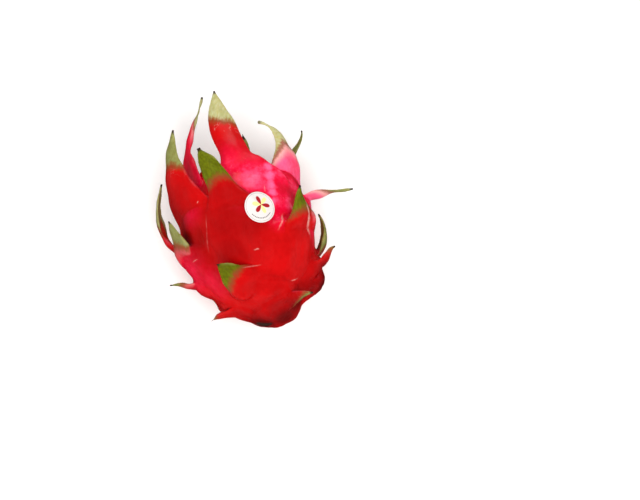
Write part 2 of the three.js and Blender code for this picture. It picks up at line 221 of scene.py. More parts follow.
usualScale = {
    "foot": 13, "width": 5, "leave": (0, 40), "end": (0, 80), "panel": 26, "swell": 4.5,
    "spread": 1.2, "slope": 1.1,  # half width of the swelling against the foot's, softness of its sides
    "run": 10,  # how far below the axil the foot starts
    "drop": 12, "slant": 0,  # how much lower the foot's edges start, and the right one more
    "footShare": 0.34, "flare": 2.2,  # where along the scale the foot narrows, and how sharply
    "leafShare": 0.8, "point": 2.2,  # where the leaf narrows to its tip, and how suddenly
    "stiff": 0.4, "hook": 0.32,  # how long it keeps the direction it starts in and the one it ends in
    "cup": 0.5,  # how much it is curled across
    "clasp": 0.24,  # how far up its edges stay in the skin, beyond its middle
    "rootThickness": 6.5, "tipThickness": 1.4, "edgeShare": 0.45,
    "blunt": 0.5,  # half width of the dry tip
    "green": 0.66, "arch": 0.18, "greenLean": 0, "pale": 0.2, "dryLength": 2.5,
    "blushAndSheen": 0,  # how pink it is with painted sheen, or how much less pink than the skin round it
}
shortScale = {"run": 6, "drop": 6, "swell": 3.5, "panel": 20}
crownScales = [
    {"root": (10, 40), "tip": (-4, 99, 28), "foot": 33, "width": 9.8, "leave": (-4, 6), "end": (6, -8),
     "panel": 34, "drop": 14, "slant": 0.2, "footShare": 0.25, "flare": 3.9, "leafShare": 0.7,
     "point": 3.3, "stiff": 0.37, "hook": 0.35, "cup": 0.6,
     "green": 0.68, "arch": 0, "greenLean": 0.07, "pale": 0.9},
    {"root": (64, 42), "tip": (31, 69, 44), "foot": 22, "width": 4, "leave": (8, 22), "end": (-76, -8),
     "panel": 36, "footShare": 0.38, "flare": 2.6, "hook": 0.4, "cup": 0.8, "tipThickness": 0.9,
     "dryLength": 0.9, "green": 0.52, "pale": 1, "blushAndSheen": 1.15},
    {"root": (124, 45), "tip": (113, 76, 56), "foot": 16, "width": 8, "leave": (0, 26), "end": (0, 0),
     "green": 0.5},
    {"root": (175, 44), "tip": (159, 84, 30.5), "foot": 18, "width": 8, "leave": (0, 8), "end": (0, -6),
     "dryLength": 5},
    {"root": (-136, 42), "tip": (-136, 60, 18), "foot": 20, "width": 9, "leave": (0, 8), "end": (0, -10),
     "panel": 34},
    {"root": (-76, 45), "tip": (-88, 106, 11), "foot": 27, "width": 4.8, "leave": (18, 35),
     "end": (-5, -21), "run": 6, "footShare": 0.28, "flare": 3.5, "leafShare": 0.68, "stiff": 0.55,
     "hook": 0.28, "rootThickness": 5, "green": 0.7, "pale": 0.6, "blushAndSheen": 0.5},
]
topScales = [
    {"root": (-7.7, 21.5), "tip": (-18, 54, 60), "foot": 21.4, "width": 9, "leave": (-9.5, 9),
     "end": (-4, 41), "panel": 46, "spread": 1.05, "slope": 0.6, "slant": 0.95, "footShare": 0.27,
     "flare": 2.9, "leafShare": 0.9, "point": 3.3, "cup": 0.7, "blunt": 1.5, "green": 0.5,
     "arch": 0.06, "pale": 0, "blushAndSheen": -1.2},
    {"root": (-50, 28), "tip": (-41, 75, 50), "foot": 22, "width": 9.6, "leave": (-12, 24), "end": (26, -6),
     "panel": 30, "leafShare": 0.7, "point": 2.4, "hook": 0.4, "cup": 0.7, "green": 0.62, "arch": 0.05,
     "pale": 0.3, "blushAndSheen": -1.2},
    {"root": (50, 4), "tip": (41, 20, 61), "foot": 25, "width": 7.5, "leave": (-4, 24), "end": (-4, 30),
     "panel": 42, "point": 2, "cup": 0.7, "green": 0.48, "arch": 0.06, "greenLean": 0.03, "pale": 0,
     "blushAndSheen": -1.2},
    {"root": (-10, -30), "tip": (-23, -21, 58), "foot": 21, "width": 9.2, "leave": (-43, 15),
     "end": (-35, 39), "run": 8, "drop": 5.5, "slant": 0.8, "footShare": 0.36, "point": 2.8, "stiff": 0.43,
     "cup": 0.6, "clasp": 0.65, "green": 0.62, "arch": 0.12, "greenLean": -0.05, "pale": 0},
    {"root": (-66, 1), "tip": (-57.5, 18, 56), "foot": 18, "width": 8, "leave": (-4, 24), "end": (5, 20),
     "cup": 0.7, "green": 0.45, "pale": 0.3, "arch": 0.1},
    {"root": (33, -40), "tip": (47, -46.5, 40.5), **shortScale, "foot": 8, "width": 3.6, "leave": (54, 20),
     "end": (100, 35), "panel": 16, "swell": 4.5, "cup": 0.6, "green": 0.75, "greenLean": 0.3, "pale": 0.2},
]
sideScales = [
    {"root": (94, 24), "tip": (98, 25, 78), "foot": 16, "width": 4.5, "leave": (0, 72), "end": (0, 88),
     "run": 4, "stiff": 0.3, "hook": 0.4, "rootThickness": 5, "green": 0.6, "pale": 0.3, "blushAndSheen": 0.95},
    {"root": (102, -11), "tip": (104, 13, 52), "foot": 14, "width": 6, "leave": (0, 20), "end": (0, -26),
     "panel": 20, "green": 0.4},
    {"root": (82, -18), "tip": (84, -15, 56), **shortScale, "foot": 12, "panel": 28, "swell": 7,
     "cup": 0.8, "green": 0.85},
    {"root": (84, -32), "tip": (86, -17, 43), "foot": 9, "width": 6, "leave": (0, 20), "end": (0, 20),
     "panel": 14, "swell": 9, "spread": 1.7, "run": 4, "drop": 3, "cup": 0.9, "clasp": 0.4, "green": 0.9,
     "pale": 0},
    {"root": (-97, 10), "tip": (-104, 55, 51.5), "foot": 16, "width": 7, "leave": (0, 46), "end": (0, -26),
     "rootThickness": 5, "green": 0.55, "pale": 0.5},
    {"root": (-95, -17), "tip": (-98, -16, 58), **shortScale, "rootThickness": 5, "green": 0.6},
    {"root": (-86, -39), "tip": (-98, -46, 40), **shortScale, "end": (-10, 110), "panel": 14,
     "rootThickness": 5, "green": 0.85, "pale": 0.2},
]
undersideRoots = [
    (148, 26), (-152, 22), (-178, 8), (124, 4), (-130, 10), (150, -15), (-150, -15),
    (120, -34), (160, -39), (-166, -37), (-124, -34),
]
undersideForm = {
    "stemUp": -45, "crownUp": 45,  # they grow from the one to the other, and change between them so:
    "growth": {"foot": (15, 20), "width": (6, 9), "panel": (22, 34), "swell": (3.5, 4.5),
               "run": (6, 10), "drop": (6, 12)},
    "free": (12, 44), "freePower": 1.3,  # length that stands free of the skin
    "tilt": 30, "tiltLost": 0.8,  # how far they stand off it, and share of that lost to the crown
    "leave": 20, "end": 30,  # tilt that they start and end in
    "pressed": 38, "pressedStart": 14,  # how much less it is right underneath
    "pressedPower": 4,  # how soon that is lost beside the middle
    "off": 3, "overFloor": 1,  # how far the tips stay off the skin, and over the floor
    "leastDown": 0.2,  # keeps the room over the floor finite at the fruit's sides
}
navelForm = {
    "count": 6, "first": -170, "up": 46.5,
    "long": (-6, 57, 7), "short": (14, 54, 11),  # extra turn, and up and out of the tip
}
scaleBuild = {  # what all scales share; places along them are shares of their length
    "rows": 90, "columns": 30,
    "footLean": 0.8,  # share of its lean that a scale has in the skin
    "slopeStep": 0.002,  # over which the skin's slope is taken
    "skinRadius": 46,  # curve across that the foot has, as the skin has
    "ownCurlAt": 0.5,  # where the scale is curled across by its own cup
    "fallLength": 0.3, "fallPower": 1.6,  # where and how fast its edges catch up with its middle
    "middleClasp": 0.1,  # how far up its middle stays in the skin
    "depth": 0.7, "depthLength": 0.25,  # how deep its foot lies in the skin, and up to where
    "edgeDepth": 0.8,  # how much deeper its edges lie
    "tipThinning": 2.2, "edgeThinning": 2.4,  # powers of its thinning to the tip and to the edges
    "heelThickness": 0.1, "heel": 0.2,  # share of its thickness at its lower end, and where it has all
    "outerFrom": 0.4,  # where half of its thickness lies on the outer side
    "archPower": 1.5,  # of the border where it turns green
    "softLength": 0.5, "softStart": 0.2,  # where its foot stops flowing softly into the skin
}


def undersideScale(around, up):
    # Scales of the side it lies on: shorter towards the stem end, and pressed flat underneath.
    # grown runs from 0 at the stem end to 1 at the crown, and under to 1 where it rests.
    form = undersideForm
    grown = (up - form["stemUp"]) / (form["crownUp"] - form["stemUp"])
    under = np.cos((180 - abs(around)) * deg) ** form["pressedPower"]
    free = mix(*form["free"], grown ** form["freePower"])
    tilt = (form["tilt"] - form["pressed"] * under) * (1 - form["tiltLost"] * grown) * deg
    reach = float(profile(shareAtHeight(up))[1]) + form["off"] + free * np.sin(tilt)
    down = max(form["leastDown"], -np.cos(around * deg))
    room = (fruitBody["axisHeight"] - form["overFloor"]) / down
    return {
        **{name: mix(*ends, grown) for name, ends in form["growth"].items()},
        "root": (around, up), "tip": (around, up + free * np.cos(tilt), min(reach, room)),
        "leave": (0, form["leave"] - form["pressedStart"] * under),
        "end": (0, form["end"] * (1 - under) * (1 - grown)), "green": 0.62,
    }


def navelScale(index):  # small dry scales round the navel, every second one longer
    turn, tipUp, tipOut = navelForm["short" if index % 2 else "long"]
    around = navelForm["first"] + index * 360 / navelForm["count"] + turn
    return {
        "root": (around, navelForm["up"]), "tip": (around, tipUp, tipOut), "foot": 9, "width": 4,
        "leave": (0, 60), "end": (0, -50), "panel": 6, "swell": 0.5, "run": 2, "drop": 1,
        "rootThickness": 3, "green": 0.55, "pale": 0.8, "dryLength": 6,
    }


def aim(forward, sideways, outwards, lean, tilt):  # forward, leaned sideways and tilted outwards
    level = forward * np.cos(lean * deg) + sideways * np.sin(lean * deg)
    return level * np.cos(tilt * deg) + outwards * np.sin(tilt * deg)


def spineOf(scale, along):
    # The middle line, a cubic curve from the skin below the axil to the tip. Gives its points, its
    # directions, its length and its foot.
    step = scaleBuild["slopeStep"]
    start = shareAtHeight(scale["root"][1] - scale["run"])
    back = np.tan(scale["leave"][0] * scaleBuild["footLean"] * deg) * scale["run"]
    around = scale["root"][0] - back / fruitBody["girth"] / deg
    radial, sideways = directionsAt(around)
    (upAbove, outAbove), (upBelow, outBelow) = profile(start + step), profile(start - step)
    upwards = unit(fruitAxis * (upAbove - upBelow) + radial * (outAbove - outBelow))
    outwards = np.cross(sideways, upwards)
    leave = aim(upwards, sideways, outwards, *scale["leave"])
    tipRadial, tipSideways = directionsAt(scale["tip"][0])
    arrive = aim(fruitAxis, tipSideways, tipRadial, *scale["end"])
    first = place(around, *skin(around, start)) - outwards
    last = place(*scale["tip"])
    chord = np.linalg.norm(last - first)
    second = first + leave * chord * scale["stiff"]
    third = last - arrive * chord * scale["hook"]
    s = along[..., None]
    points = ((1 - s) ** 3 * first + 3 * (1 - s) ** 2 * s * second
              + 3 * (1 - s) * s * s * third + s ** 3 * last)
    forward = unit((1 - s) ** 2 * (second - first) + 2 * (1 - s) * s * (third - second)
                   + s * s * (last - third))
    return points, forward, chord, first


def acrossOf(scale):  # the way across: round the fruit, turned with the lean that the scale starts in
    lean = scale["leave"][0] * deg
    middle = (scale["root"][0] + shortTurn(scale["tip"][0] - scale["root"][0]) / 2) * deg
    return np.array([np.cos(middle) * np.cos(lean), -np.sin(lean), -np.sin(middle) * np.cos(lean)])


def halfWidth(scale, along):  # a broad foot, then a leaf that narrows to a point
    foot = np.exp(-(along / scale["footShare"]) ** scale["flare"])
    toTip = np.minimum(1, (1 - along) / scale["leafShare"])
    width = scale["width"] * (1 - (1 - toTip) ** scale["point"])
    return np.maximum(scale["blunt"], mix(width, scale["foot"], foot))


def thicknessAt(scale, along, across):  # thickest at the foot, thinner to the tip and to the edges
    form = scaleBuild
    middle = mix(scale["tipThickness"], scale["rootThickness"], (1 - along) ** form["tipThinning"])
    return middle * (1 - (1 - scale["edgeShare"]) * np.abs(across) ** form["edgeThinning"])


def middleSurface(scale, along, across):
    # Arcs across the spine. The foot lies in the skin, its edges for longer than its middle.
    form = scaleBuild
    spine, forward, _, _ = spineOf(scale, along)
    sideways = acrossOf(scale)
    side = unit(sideways - (forward @ sideways)[..., None] * forward)
    face = np.cross(side, forward)
    width = halfWidth(scale, along)
    curl = mix(width / form["skinRadius"], scale["cup"], smooth(along / form["ownCurlAt"]))
    turn = curl * across
    fall = scale["drop"] * (1 + scale["slant"] * across) * across ** 2
    fall = fall * np.exp(-(along / form["fallLength"]) ** form["fallPower"])
    free = (spine + side * (width * np.sin(turn) / curl)[..., None]
            - face * (width * (1 - np.cos(turn)) / curl)[..., None] - forward * fall[..., None])
    hug = 1 - smooth(along / (form["middleClasp"] + scale["clasp"] * across ** 2))
    around, up, out = locate(free)
    skinUp, skinOut = skin(around, shareTowards(up, out))
    buried = form["depth"] * (1 - smooth(along / form["depthLength"])) + form["edgeDepth"] * across ** 2
    sink = 1 - buried / np.hypot(skinUp, skinOut)
    return place(around, mix(up, skinUp * sink, hug), mix(out, skinOut * sink, hug)), forward


scales = [{**usualScale, **scale} for scale in (
    crownScales + topScales + sideScales
    + [undersideScale(*root) for root in undersideRoots]
    + [navelScale(index) for index in range(navelForm["count"])])]

# The body and each scale are closed shells, and every point has marks that tell the finish what it is:
# ripe     millimetres past the line where red turns green
# dry      millimetres past the line where the tip has dried
# pale     how far green has gone to straw
# blushAndSheen  how pink the red is, partly painted sheen
# grain    the place, squeezed to a fifth along the growth, so that patterns on it run lengthwise
# blend    how softly the surface flows into its neighbour, used while the shells are fused
# Once they are fused it also has:
# hollow   millimetres that it lies in a hollow, below 0 on an edge
# paintedShade  painted shade: how dark the red is made where shade falls
# scratchAndGlint  how far it is along and beside the nearest pale scratch, some of them painted glints, and
# how strong that is

grainSqueeze = 0.8
unripe = -30.0


def grainAlong(points, forward, foot):
    lengthwise = np.sum((points - foot) * forward, -1, keepdims=True) * forward + foot[1] * fruitAxis
    return points - grainSqueeze * lengthwise


def gridFaces(rows, columns, closed=False):  # four-sided faces of a grid of points, row after row
    row, column = np.indices((rows if closed else rows - 1, columns - 1))
    nextRow = (row + 1) % rows
    corners = [row * columns + column, row * columns + column + 1,
               nextRow * columns + column + 1, nextRow * columns + column]
    return np.stack(corners, -1).reshape(-1, 4)


def bodyShell():
    sides, rings = fruitBody["sides"], fruitBody["rings"]
    turns, shares = np.arange(sides) * 360 / sides, np.linspace(0, 1, rings + 1)
    around, share = np.meshgrid(turns, shares, indexing="ij")
    up, out = skin(around, share)
    out[:, [0, -1]] = 0
    up[:, [0, -1]] = up[:, [0, -1]].mean(0)
    points = place(around, up, out).reshape(-1, 3)
    level = np.zeros(len(points))
    marks = {"ripe": level + unripe, "dry": level + unripe, "pale": level, "blushAndSheen": level,
             "blend": level + fruitBody["softness"], "grain": grainAlong(points, fruitAxis, np.zeros(3))}
    return points, gridFaces(sides, rings + 1, closed=True), marks


def scaleShell(scale):
    # A face on each side of the middle surface, closed round the rim. In the foot all the thickness is on
    # the inner side, and its end is thin, so that the scale comes out of the skin without a step.
    form = scaleBuild
    rows, columns = form["rows"], form["columns"]
    along, across = np.meshgrid(
        np.linspace(0, 1, rows + 1), np.linspace(-1, 1, columns + 1), indexing="ij")
    middle, forward = middleSurface(scale, along, across)
    normal = unit(np.cross(np.gradient(middle, axis=1), np.gradient(middle, axis=0)))
    thickness = thicknessAt(scale, along, across)
    thickness = thickness * mix(form["heelThickness"], 1, smooth(along / form["heel"]))
    outer = thickness * smooth(along / form["outerFrom"]) / 2
    inner = thickness - outer
    points = np.concatenate([(middle + normal * outer[..., None]).reshape(-1, 3),
                             (middle - normal * inner[..., None]).reshape(-1, 3)])
    count = along.size
    number = np.arange(count).reshape(along.shape)
    front = gridFaces(rows + 1, columns + 1)
    edge = np.concatenate([number[:-1, 0], number[-1, :-1], number[:0:-1, -1], number[0, :0:-1]])
    nextEdge = np.roll(edge, -1)
    rim = np.stack([edge, nextEdge, nextEdge + count, edge + count], -1)
    faces = np.concatenate([front, front[:, ::-1] + count, rim])

    _, _, length, foot = spineOf(scale, along)
    arch = scale["arch"] * np.abs(across) ** form["archPower"]
    border = scale["green"] - arch - scale["greenLean"] * across
    level = np.zeros(along.shape)
    marks = {"ripe": (along - border) * length, "dry": (along - 1) * length + scale["dryLength"],
             "pale": level + scale["pale"], "blushAndSheen": level + scale["blushAndSheen"]}
    marks = {name: np.tile(values.ravel(), 2) for name, values in marks.items()}
    softFoot = 1 - smooth(along / form["softLength"] - form["softStart"])
    marks["blend"] = np.concatenate([softFoot.ravel(), level.ravel()])
    marks["grain"] = np.tile(grainAlong(middle, forward, foot).reshape(-1, 3), (2, 1))
    return points, faces, marks


def meshFrom(name, points, faces, marks):
    mesh = bpy.data.meshes.new(name)
    mesh.from_pydata(points * mm, [], faces)
    for mark, values in marks.items():
        isVector = values.ndim == 2
        data = mesh.attributes.new(mark, "FLOAT_VECTOR" if isVector else "FLOAT", "POINT").data
        data.foreach_set("vector" if isVector else "value", values.ravel())
    return mesh


def closeSeams(mesh):  # merges points that share a place, and turns the faces outwards
    edit = bmesh.new()
    edit.from_mesh(mesh)
    bmesh.ops.remove_doubles(edit, verts=edit.verts, dist=0.001 * mm)
    bmesh.ops.recalc_face_normals(edit, faces=edit.faces)
    edit.to_mesh(mesh)
    edit.free()


def shellsMesh():  # the body and all scales in one mesh, each a closed shell of its own
    shells = [bodyShell()] + [scaleShell(scale) for scale in scales]
    starts = np.cumsum([0] + [len(points) for points, _, _ in shells])
    points = np.concatenate([points for points, _, _ in shells])
    faces = np.concatenate([faces + start for (_, faces, _), start in zip(shells, starts)])
    marks = {name: np.concatenate([values[name] for _, _, values in shells]) for name in shells[0][2]}
    mesh = meshFrom("fruit_shells", points, faces, marks)
    closeSeams(mesh)
    return mesh


# the fruit in one piece, made of the shells

fruitSurface = {
    "voxel": 0.5,  # of the net the shells are fused on
    "creaseRounds": 16, "creaseForce": 0.6, "creasePower": 1.5,  # smoothing where scales leave the skin
    "evenRounds": 3, "evenForce": 0.35,  # smoothing everywhere
    "markRounds": 5,  # smoothing of the marks
    "lumpSize": 16, "lumpHeight": 0.35,  # shallow unevenness of the skin
    "fibreSize": 3.6, "fibreHeight": 0.04,  # lengthwise fibres under the skin
    "hollowReach": 12, "hollowRounds": 4,  # rounds that a hollow's mark spreads, and its smoothing
    "triangles": 190000,
}
ripening = {  # patches of the skin: around, up, out, size and strength
    "blushAndSheen": [  # pinker where it ripened last, and painted sheen on the slopes towards the crown and on the sides
        (-4, 45, 50, 15, 1.6), (16, 34, 48, 16, 1.5), (28, 26, 47, 11, 1.2), (44, 35, 46, 12, 1.1),
        (-32, 42, 44, 9, 0.7), (34, 15, 46, 11, 1), (44, 14, 44, 9, 1.05), (57, 27, 44, 9, 1.05),
        (-46, 20, 47, 9, 0.45), (33, 39, 42, 5, 1.6), (32, 33, 43, 5, 1.75),
        (31, 27, 44, 4.5, 1.75), (30, 21, 44, 4.5, 1.7), (29, 15, 45, 4, 1.5), (30, 4, 45, 7, 0.9),
        (90, 12, 47, 12, 1.6), (-70, -16, 46, 15, 0.8), (-54, -30, 42, 12, 0.7), (95, 22, 50, 16, 0.9),
        (86, 4, 46, 13, 1), (41, -38, 44, 6, 0.5), (-160, 20, 46, 16, 0.6), (150, 0, 46, 18, 0.6),
        (57, 10, 53, 5.5, 1.9), (60, 6, 52, 5.5, 1.9), (63, 2, 51, 5.5, 1.9), (66, -2, 49.5, 5.5, 1.6),
        (69, -6, 48, 5.5, 1), (72, -10, 46.5, 5.5, 0.8),
    ],
    "paintedShade": [  # painted shade: darker where shade falls, between the scales, at the stem end and underneath
        (-58, 4, 46, 9, 0.9), (-60, 20, 48, 17, 0.5), (-14, -13, 47, 13, 0.5), (-4, 6, 47, 24, 0.4),
        (-46, -2, 46, 14, 0.45), (-20, -22, 54, 9, 0.4), (88, -37, 42, 13, 1), (66, -46, 36, 12, 0.8),
        (30, -62, 14, 15, 1), (-56, -58, 11, 13, 0.9), (56, -53, 25, 12, 1.1), (10, -53, 24, 9, 0.5),
        (170, -20, 44, 22, 0.5),
    ],
    "scratchesAndGlints": [  # pale scratches, some of them painted glints: around, up, out, turn, length, width, strength
        (6, -14.5, 43, 88, 1.9, 0.45, 0.85), (-53, -10.6, 45, 84, 3.2, 0.35, 0.35),
        (-35.5, 24.8, 46, 60, 1, 0.4, 0.7), (44, -35, 34, 76, 4, 0.4, 0.45),
        (-2, -24.5, 40, 85, 6, 0.45, 0.35), (32, 1, 45, 35, 7, 0.6, 0.5), (24, 24, 44, 10, 3, 0.4, 0.3),
        (54.5, 2, 52.5, -28, 13, 1.1, 0.7), (-33, 3, 44, 14, 12, 0.4, 0.15),
        (-100, -12, 46, 70, 4, 0.4, 0.5), (140, 6, 46, 40, 3, 0.4, 0.5), (-150, -8, 46, 60, 4, 0.4, 0.5),
    ],
    "scar": (-60, -57, 9),  # middle of the dry scar where the stalk was cut
    "scarSize": 4.6, "scarRagged": 0.9, "scarRagSize": 5, "scarDryness": 1,
    # how far each scratch and painted glint's mark reaches, in halves of its length and its width, and in
    # millimetres
    "scratchGlintAlong": 2, "scratchGlintBeside": 5, "scratchGlintRadius": 20,
    "mostBeside": 9,  # the mark gets no larger than this
}


def readArray(data, name, columns):
    values = np.empty(len(data) * columns, dtype=np.int64 if name == "vertices" else np.float64)
    data.foreach_get(name, values)
    return values.reshape(-1, columns) if columns > 1 else values


def neighbourMean(values, sides, rounds=1):
    # The mean over each point's neighbours, taken again each round. sides holds every side of every face
    # from end to end, so on a closed net each pair of neighbours comes once each way.
    start, end = sides
    count = np.bincount(start)
    for _ in range(rounds):
        flat = values.reshape(len(values), -1)
        means = [np.bincount(start, column[end]) / count for column in flat.T]
        values = np.stack(means, -1).reshape(values.shape)
    return values


def pieceNumbers(sides, count):  # one number for all points that hang together
    number = np.arange(count)
    while True:
        ends = number[sides]
        low, high = ends.min(0), ends.max(0)
        apart = low < high
        if not apart.any():
            return number
        np.minimum.at(number, high[apart], low[apart])
        while (number[number] != number).any():
            number = number[number]


def waves(points, size, seed, number=28):
    # Smooth random heights: the sum of sine waves in random directions, 0.7 to 1.4 times size long.
    draw = np.random.default_rng(seed)
    direction = unit(draw.normal(size=(number, 3)))
    length = size * draw.uniform(0.7, 1.4, number)
    phase = draw.uniform(0, 2 * np.pi, number)
    steepness = direction * 2 * np.pi / length[:, None]
    return np.sin(points @ steepness.T + phase).sum(1) / np.sqrt(number / 2)


def scratchesAndGlints(points, lines):
    # Of the nearest pale scratch, some of which are painted glints: how far along it and beside it a point
    # lies, in halves of its length and its width, and its strength. turn is its angle from the fruit's
    # axis.
    form = ripening
    faraway = 1000
    nearest = np.full(len(points), np.inf)
    values = np.zeros((len(points), 3))
    for around, up, out, turn, length, width, strength in lines:
        middle = place(around, up, out)
        outwards = unit(middle - place(around, up, 0))
        _, sideways = directionsAt(around)
        lengthwise = fruitAxis * np.cos(turn * deg) + sideways * np.sin(turn * deg)
        offset = points - middle
        along = np.abs(offset @ lengthwise) / length
        beside = offset @ np.cross(lengthwise, outwards) / width
        away = np.maximum(along / form["scratchGlintAlong"], np.abs(beside) / form["scratchGlintBeside"])
        away += (np.linalg.norm(offset, axis=-1) > form["scratchGlintRadius"]) * faraway
        closer = away < nearest
        beside = np.clip(beside, -form["mostBeside"], form["mostBeside"])
        found = np.stack([along, beside, strength * (away < 1)], -1)
        values[closer] = found[closer]
        nearest = np.minimum(nearest, away)
    return values


def dryScar(points):
    # Millimetres inside the dry scar where the stalk was cut, counted like the scales' dry tips.
    distance = np.linalg.norm(points - place(*ripening["scar"]), axis=-1)
    edge = ripening["scarRagged"] * waves(points, ripening["scarRagSize"], seed=7)
    return np.minimum(ripening["scarDryness"], ripening["scarSize"] - distance + edge)


def patches(points, zones):  # the strongest of some round patches, each exp(-(distance / size) squared)
    total = np.zeros(len(points))
    for around, up, out, size, strength in zones:
        distance = np.linalg.norm(points - place(around, up, out), axis=-1)
        total = np.maximum(total, strength * np.exp(-(distance / size) ** 2))
    return total


def fuse(mesh):
    # One closed net of even squares round all the shells. Specks left in closed gaps are dropped.
    lump = addObject("fruit_lump", mesh)
    bpy.ops.object.select_all(action="DESELECT")
    bpy.context.view_layer.objects.active = lump
    lump.select_set(True)
    mesh.remesh_voxel_size = fruitSurface["voxel"] * mm
    mesh.use_remesh_preserve_attributes = True
    bpy.ops.object.voxel_remesh()
    mesh = lump.data
    points = readArray(mesh.vertices, "co", 3) / mm
    faces = readArray(mesh.polygons, "vertices", 4)
    marks = {name: readArray(mesh.attributes[name].data, "value", 1)
             for name in ("ripe", "dry", "pale", "blushAndSheen", "blend")}
    marks["grain"] = readArray(mesh.attributes["grain"].data, "vector", 3)
    bpy.data.objects.remove(lump)
    number = pieceNumbers(np.stack([faces.ravel(), np.roll(faces, -1, 1).ravel()]), len(points))
    kept = number == np.bincount(number).argmax()
    newNumber = np.cumsum(kept) - 1
    faces = newNumber[faces[kept[faces[:, 0]]]]
    return points[kept], faces, {name: values[kept] for name, values in marks.items()}


def faceNormals(points, faces, sides):  # each point's normal: the sum of its faces' own
    corners = points[faces]
    normal = np.cross(corners[:, 2] - corners[:, 0], corners[:, 3] - corners[:, 1])
    spread = np.repeat(normal, 4, axis=0)
    return unit(np.stack([np.bincount(sides[0], column) for column in spread.T], -1))


def fusedFruit():
    form = fruitSurface
    points, faces, marks = fuse(shellsMesh())
    print("fused:", len(points), "points")
    sides = np.stack([faces.ravel(), np.roll(faces, -1, 1).ravel()])
    for name in marks:
        marks[name] = neighbourMean(marks[name], sides, form["markRounds"])

    crease = np.maximum(0, marks.pop("blend"))[:, None] ** form["creasePower"] * form["creaseForce"]
    for rounds, force in ((form["creaseRounds"], crease), (form["evenRounds"], form["evenForce"])):
        for _ in range(rounds):
            points += force * (neighbourMean(points, sides) - points)
    height = form["lumpHeight"] * waves(points, form["lumpSize"], seed=3)
    height += form["fibreHeight"] * waves(marks["grain"], form["fibreSize"], seed=5)
    points += faceNormals(points, faces, sides) * height[:, None]
    points[:, 2] = np.maximum(points[:, 2], 0)

    # A hollow is where the neighbours' mean lies outside the surface, an edge where it lies inside.
    away = neighbourMean(points, sides, form["hollowReach"]) - points
    hollow = np.sum(away * faceNormals(points, faces, sides), -1)
    marks["hollow"] = neighbourMean(hollow, sides, form["hollowRounds"])
    # pink patches, partly painted sheen
    marks["blushAndSheen"] += patches(points, ripening["blushAndSheen"])
    # painted shade: darker patches where shade falls
    marks["paintedShade"] = patches(points, ripening["paintedShade"])
    # pale scratch marks, some of them painted glints
    marks["scratchAndGlint"] = scratchesAndGlints(points, ripening["scratchesAndGlints"])
    marks["dry"] = np.maximum(marks["dry"], dryScar(points))
    marks["grain"] = marks["grain"] * mm
    print("smoothed, hollow from", marks["hollow"].min(), "to", marks["hollow"].max())

    fruit = addObject("dragon_fruit_skin", meshFrom("dragon_fruit_skin", points, faces, marks))
    bpy.context.view_layer.objects.active = fruit
    thin = fruit.modifiers.new("Decimate", "DECIMATE")
    thin.ratio = form["triangles"] / (2 * len(faces))
    bpy.ops.object.modifier_apply(modifier=thin.name)
    fruit.data.shade_smooth()
    print("fruit:", len(fruit.data.polygons), "faces")
    return fruit


# The rind of a ripe red pitaya is smooth and thinly waxed, so it has a broad soft gloss. It is crimson,
# pinker on its rims and where it ripened last. Its scales end green, then straw, then dry and brown. Its
# colour also holds painted shade in the hollows, at the stem end and underneath, painted sheen in pale pink
# on the slopes towards the crown and on the sides, and painted glints drawn as pale scratches.

